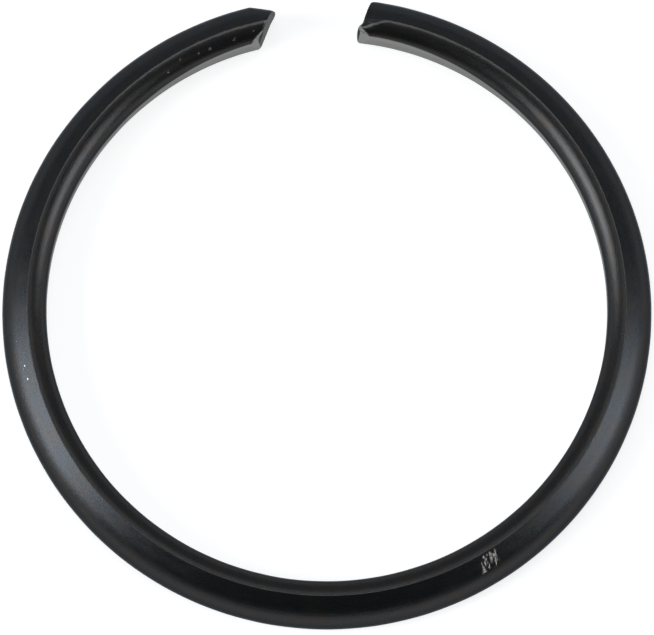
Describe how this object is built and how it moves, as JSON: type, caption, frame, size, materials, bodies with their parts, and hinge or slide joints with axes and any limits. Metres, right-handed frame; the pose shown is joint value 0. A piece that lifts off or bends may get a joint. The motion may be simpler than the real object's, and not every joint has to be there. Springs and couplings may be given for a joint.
{
  "type": "circlip retaining ring",
  "caption": "Open retaining ring of black spring-steel wire without eyelets, with a crest along its top and two slanted sheared ends.",
  "frame": {"origin": "on the ring's own axis, at the level of the surface the ring lies on", "axes": "+Z along the ring's axis, up from the surface; +Y from the axis towards the gap between the ends; +X to the right seen from above with the gap at the top"},
  "size_m": [0.0298, 0.0296, 0.0021],
  "materials": {
    "black_oxide_steel": "satin black oxide, lightly oiled"
  },
  "bodies": {
    "root": {"retaining_ring": "black_oxide_steel"}
  },
  "joints": []
}
